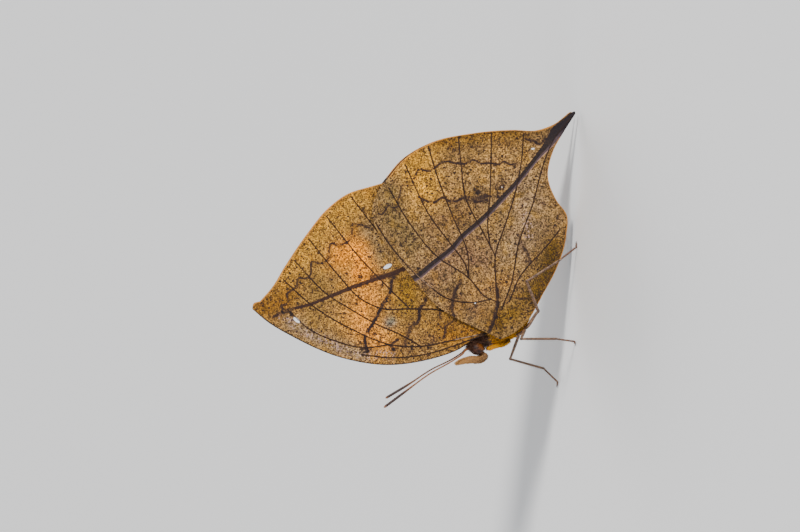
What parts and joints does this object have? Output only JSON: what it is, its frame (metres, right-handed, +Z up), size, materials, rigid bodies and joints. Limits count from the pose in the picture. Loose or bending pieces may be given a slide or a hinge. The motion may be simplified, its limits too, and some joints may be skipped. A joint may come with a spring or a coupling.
{
  "type": "leaf butterfly",
  "caption": "Life-size leaf butterfly at rest, its wings closed over its back like a dead leaf with a stem, standing on its walking legs.",
  "frame": {"origin": "on the plane that the feet stand on, below the middle of the animal's box", "axes": "+Z up, the head towards -X and the hindwing's tail towards +X, the animal's left side towards -Y"},
  "size_m": [0.0609, 0.0173, 0.0641],
  "materials": {
    "forewing_scales": "powdery wing scales, ochre to orange with brown lines",
    "hindwing_scales": "powdery wing scales, ochre to grey-brown with a dark midrib band",
    "body_fur": "short dense brown fur",
    "palp_scales": "close tan scales",
    "eye": "many tiny facets, mottled reddish brown",
    "horn": "dark smooth horn",
    "antenna_horn": "ringed brown horn with a darker club",
    "leg_horn": "orange-brown horn with fine scales and spines"
  },
  "bodies": {
    "root": {"head": "body_fur", "eye_left": "eye", "eye_right": "eye", "palp_left": "palp_scales", "palp_right": "palp_scales", "proboscis": "horn", "antenna_left": "antenna_horn", "antenna_right": "antenna_horn", "thorax": "body_fur", "abdomen": "body_fur", "forewing_left": "forewing_scales", "forewing_right": "forewing_scales", "hindwing_left": "hindwing_scales", "hindwing_right": "hindwing_scales", "foreleg_left": "body_fur", "foreleg_right": "body_fur", "midleg_left_femur": "leg_horn", "midleg_left_tibia": "leg_horn", "midleg_left_tarsus": "leg_horn", "midleg_right_femur": "leg_horn", "midleg_right_tibia": "leg_horn", "midleg_right_tarsus": "leg_horn", "hindleg_left_femur": "leg_horn", "hindleg_left_tibia": "leg_horn", "hindleg_left_tarsus": "leg_horn", "hindleg_right_femur": "leg_horn", "hindleg_right_tibia": "leg_horn", "hindleg_right_tarsus": "leg_horn"}
  },
  "joints": []
}
